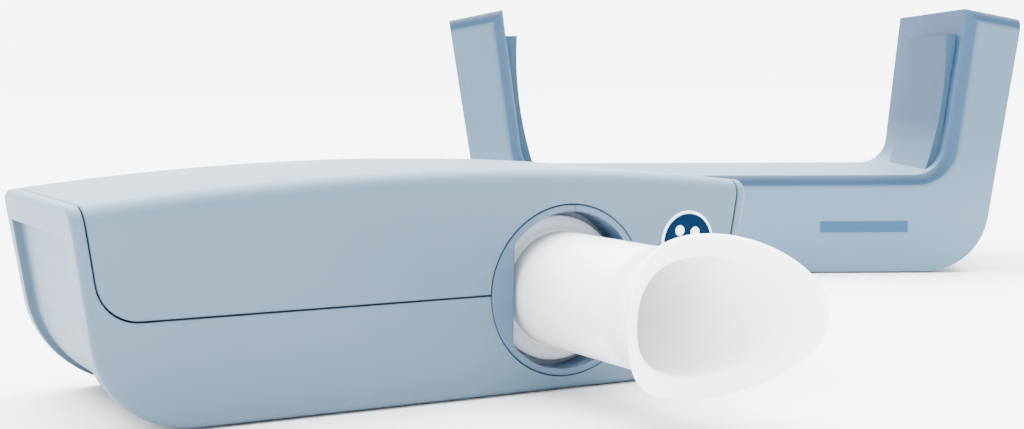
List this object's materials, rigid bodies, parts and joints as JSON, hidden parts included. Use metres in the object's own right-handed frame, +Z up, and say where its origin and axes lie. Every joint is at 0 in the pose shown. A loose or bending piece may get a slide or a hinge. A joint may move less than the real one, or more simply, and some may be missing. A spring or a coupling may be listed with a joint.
{
  "type": "spirometer",
  "caption": "Desk spirometer: a low arched handset with a slide-in breathing tube and curved mouthpiece, beside the U-shaped cradle it is put away in.",
  "frame": {"origin": "centre of the underside of the handset's rubber pad, at the middle of the handset's width and depth", "axes": "+Z up, -Y towards the mouthpiece at the front, +X to the handset's right as seen by the person who blows"},
  "size_m": [0.4667, 0.403, 0.1085],
  "materials": {
    "cover_white": "fine satin texture",
    "shell_white": "fine satin texture",
    "ring_blue_grey": "satin",
    "barrel_grey": "matt",
    "seal_rubber": "matt",
    "transducer_metal": "satin",
    "cap_plastic": "matt",
    "lead_jacket": "matt",
    "board_green": "semi gloss",
    "chip_black": "matt",
    "shield_metal": "satin",
    "capacitor_metal": "satin",
    "header_white": "matt",
    "socket_metal": "satin",
    "screw_steel": "satin",
    "pad_rubber": "matt",
    "sign_white": "satin print",
    "sign_blue": "satin print",
    "tube_white": "semi gloss",
    "mesh_white": "woven",
    "cradle_white": "fine satin texture",
    "badge_grey_blue": "satin print"
  },
  "bodies": {
    "cradle": {"cradle_frame": "cradle_white", "cradle_back_cover": "cradle_white", "cradle_screws": "screw_steel", "cradle_pads": "pad_rubber", "cradle_badge": "badge_grey_blue"},
    "handset": {"bottom_shell": "shell_white", "top_cover": "cover_white", "front_bezel_ring": "ring_blue_grey", "rear_bezel_ring": "ring_blue_grey", "measuring_barrel": "barrel_grey", "front_tube_seal": "seal_rubber", "rear_tube_seal": "seal_rubber", "transducer_left": "transducer_metal", "transducer_right": "transducer_metal", "transducer_seal_left": "seal_rubber", "transducer_seal_right": "seal_rubber", "transducer_cap_left": "cap_plastic", "transducer_cap_right": "cap_plastic", "transducer_lead_left": "lead_jacket", "transducer_lead_right": "lead_jacket", "case_screws": "screw_steel", "board_screws": "screw_steel", "main_board": "board_green", "processor_chip": "chip_black", "shield_can": "shield_metal", "capacitors": "capacitor_metal", "lead_header_left": "header_white", "lead_header_right": "header_white", "data_socket": "socket_metal", "antislip_pad": "pad_rubber", "sign_backing": "sign_white", "sign_disc": "sign_blue"},
    "tube": {"breathing_tube": "tube_white", "window_mesh_left": "mesh_white", "window_mesh_right": "mesh_white"}
  },
  "joints": [
    {"name": "handset_lift", "type": "slide", "parent": "cradle", "child": "handset", "axis": [0, 0, 1], "range_m": [0, 0.12]},
    {"name": "tube_slide", "type": "slide", "parent": "handset", "child": "tube", "axis": [0, -1, 0], "range_m": [0, 0.075]}
  ]
}
